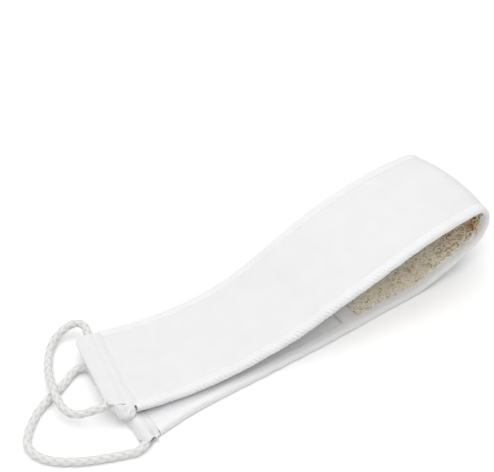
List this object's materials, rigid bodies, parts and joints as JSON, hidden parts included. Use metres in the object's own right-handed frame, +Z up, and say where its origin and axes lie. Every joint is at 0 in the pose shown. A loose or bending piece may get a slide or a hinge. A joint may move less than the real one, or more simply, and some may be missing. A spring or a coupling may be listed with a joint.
{
  "type": "back scrubber",
  "caption": "Long quilted strap folded in half, with a loofah panel on its inner face, taped edges and a rope handle threaded through a casing at each end.",
  "frame": {"origin": "middle of the flat face that the lower leg of the folded strap rests on", "axes": "+X runs along the lower leg towards the fold, +Z is up, and +Y is towards the far edge"},
  "size_m": [0.4702, 0.1602, 0.0791],
  "materials": {
    "cover_cloth": "soft white cotton cloth, matt",
    "end_cloth": "white cotton cloth, matt",
    "binding_tape": "white folded cotton tape, stitched",
    "wadding": "white polyester wadding",
    "loofah": "dried loofah fibre, tan and coarse",
    "rope": "white braided cotton rope"
  },
  "bodies": {
    "lower_leg": {"lower_cover": "cover_cloth", "lower_wadding": "wadding", "lower_end_cloth": "end_cloth", "lower_crossband": "binding_tape", "lower_loofah": "loofah", "lower_near_binding": "binding_tape", "lower_far_binding": "binding_tape"},
    "fold_lift": {"lift_cover": "cover_cloth", "lift_wadding": "wadding", "lift_loofah": "loofah", "lift_near_binding": "binding_tape", "lift_far_binding": "binding_tape"},
    "fold_turn": {"turn_cover": "cover_cloth", "turn_wadding": "wadding", "turn_loofah": "loofah", "turn_near_binding": "binding_tape", "turn_far_binding": "binding_tape"},
    "upper_leg": {"upper_cover": "cover_cloth", "upper_wadding": "wadding", "upper_end_cloth": "end_cloth", "upper_crossband": "binding_tape", "upper_loofah": "loofah", "upper_near_binding": "binding_tape", "upper_far_binding": "binding_tape"},
    "lower_handle": {"lower_casing": "cover_cloth", "lower_rope": "rope", "lower_rope_join": "rope"},
    "upper_handle": {"upper_casing": "cover_cloth", "upper_rope": "rope", "upper_rope_join": "rope"}
  },
  "joints": [
    {"name": "fold_open", "type": "hinge", "parent": "lower_leg", "child": "fold_lift", "pos_m": [0.20683, 0.0003, 0.01963], "axis": [-0.0118, 0.9999, 0.0079], "range_deg": [0, 60]},
    {"name": "fold_middle", "type": "hinge", "parent": "fold_lift", "child": "fold_turn", "pos_m": [0.2326, 0.00073, 0.05242], "axis": [-0.0532, 0.9986, 0], "range_deg": [0, 60]},
    {"name": "fold_top", "type": "hinge", "parent": "fold_turn", "child": "upper_leg", "pos_m": [0.22132, 0.00011, 0.07267], "axis": [-0.0531, 0.9985, 0.0118], "range_deg": [0, 60]},
    {"name": "lower_handle_lift", "type": "hinge", "parent": "lower_leg", "child": "lower_handle", "pos_m": [-0.133, 0, 0.007], "axis": [0, 1, 0], "range_deg": [0, 60]},
    {"name": "upper_handle_swing", "type": "hinge", "parent": "upper_leg", "child": "upper_handle", "pos_m": [-0.13012, 0.0234, 0.01884], "axis": [0.1908, 0.9816, 0], "range_deg": [0, 120]}
  ],
  "couplings": [
    {"joint": "fold_middle", "follows": "fold_open", "ratio": 1},
    {"joint": "fold_top", "follows": "fold_open", "ratio": 1},
    {"joint": "lower_handle_lift", "follows": "fold_open", "ratio": 1}
  ]
}
